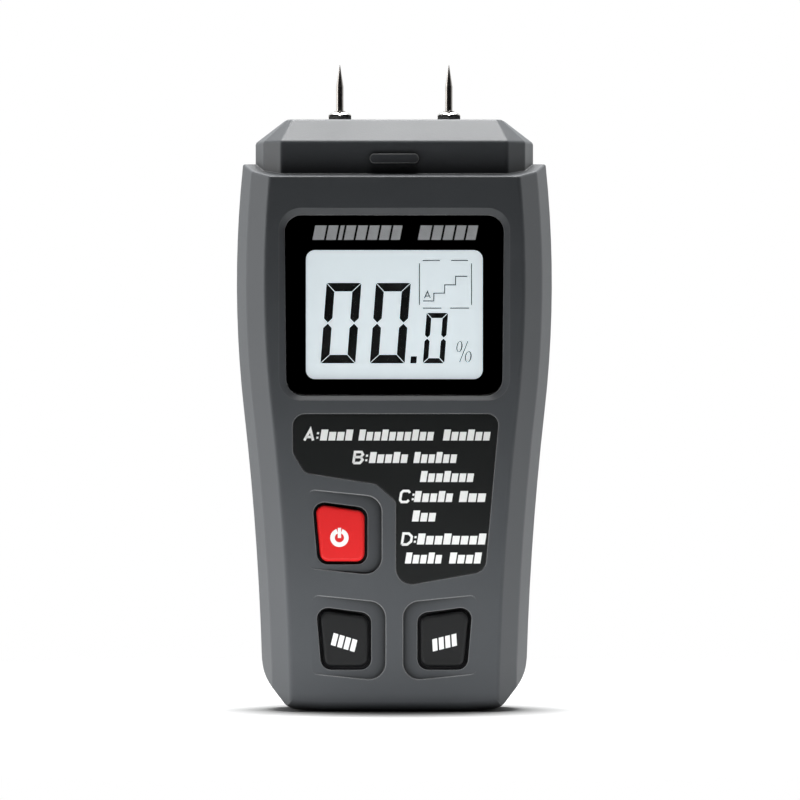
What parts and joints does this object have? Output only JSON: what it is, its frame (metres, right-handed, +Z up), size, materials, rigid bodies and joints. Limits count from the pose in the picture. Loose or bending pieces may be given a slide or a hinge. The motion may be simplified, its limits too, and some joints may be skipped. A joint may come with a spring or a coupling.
{
  "type": "moisture meter",
  "caption": "Pocket moisture meter with needle electrodes on its head, a framed digital display, a stepped label, slanted keys in thumb scoops and a sliding battery door.",
  "frame": {"origin": "under the middle of the case, on the surface it stands on", "axes": "+Z up along the meter towards its needles, -Y out of the display, +X to the right of a person facing the display"},
  "size_m": [0.0636, 0.03, 0.13],
  "materials": {
    "case_grey": "fine texture",
    "door_grey": "fine texture",
    "clear_lens": "clear gloss",
    "mask_black": "gloss",
    "lcd_pale": "satin",
    "white_plastic": "satin",
    "contact_rubber": "matte",
    "light_guide": "frosted",
    "label_black": "satin",
    "key_red": "satin",
    "key_black": "satin",
    "inner_black": "matte",
    "board_green": "solder mask",
    "chip_black": "matte",
    "can_metal": "plain",
    "capacitor_sleeve": "sleeve",
    "resistor_body": "glazed",
    "pin_steel": "polished",
    "nut_nickel": "bright",
    "socket_brass": "turned",
    "lug_tin": "tinned",
    "lead_red": "smooth",
    "lead_black": "smooth",
    "battery_wrap": "printed",
    "terminal_steel": "plain",
    "snap_black": "satin",
    "screw_steel": "blackened",
    "foam_grey": "open foam",
    "back_label": "satin film"
  },
  "bodies": {
    "case": {"front_shell": "case_grey", "rear_shell": "case_grey", "display_lens": "clear_lens", "window_mask": "mask_black", "lcd_panel": "lcd_pale", "lcd_frame": "white_plastic", "contact_strips": "contact_rubber", "light_guide": "light_guide", "label_plate": "label_black", "back_label": "back_label", "switch_housings": "inner_black", "circuit_board": "board_green", "controller_chip": "chip_black", "crystal": "can_metal", "capacitors": "capacitor_sleeve", "resistors": "resistor_body", "board_screws": "screw_steel", "electrode_pin_left": "pin_steel", "electrode_pin_right": "pin_steel", "pin_nuts": "nut_nickel", "pin_sockets": "socket_brass", "solder_lugs": "lug_tin", "pin_lead_left": "lead_black", "pin_lead_right": "lead_red", "battery": "battery_wrap", "battery_terminals": "terminal_steel", "battery_snap": "snap_black", "battery_lead_red": "lead_red", "battery_lead_black": "lead_black", "foam_pad": "foam_grey", "case_screws": "screw_steel"},
    "power_button": {"power_key": "key_red", "power_key_carrier": "inner_black", "power_switch_plunger": "inner_black"},
    "mode_button": {"mode_key": "key_black", "mode_key_carrier": "inner_black", "mode_switch_plunger": "inner_black"},
    "hold_button": {"hold_key": "key_black", "hold_key_carrier": "inner_black", "hold_switch_plunger": "inner_black"},
    "door": {"battery_door": "door_grey"}
  },
  "joints": [
    {"name": "power_press", "type": "slide", "parent": "case", "child": "power_button", "axis": [0, 1, 0], "range_m": [0, 0.0004], "stiffness_N_per_m": 2000, "springref_m": -0.0003},
    {"name": "mode_press", "type": "slide", "parent": "case", "child": "mode_button", "axis": [0, 1, 0], "range_m": [0, 0.0004], "stiffness_N_per_m": 2000, "springref_m": -0.0003},
    {"name": "hold_press", "type": "slide", "parent": "case", "child": "hold_button", "axis": [0, 1, 0], "range_m": [0, 0.0004], "stiffness_N_per_m": 2000, "springref_m": -0.0003},
    {"name": "door_slide", "type": "slide", "parent": "case", "child": "door", "axis": [0, 0, -1], "range_m": [0, 0.062]}
  ]
}
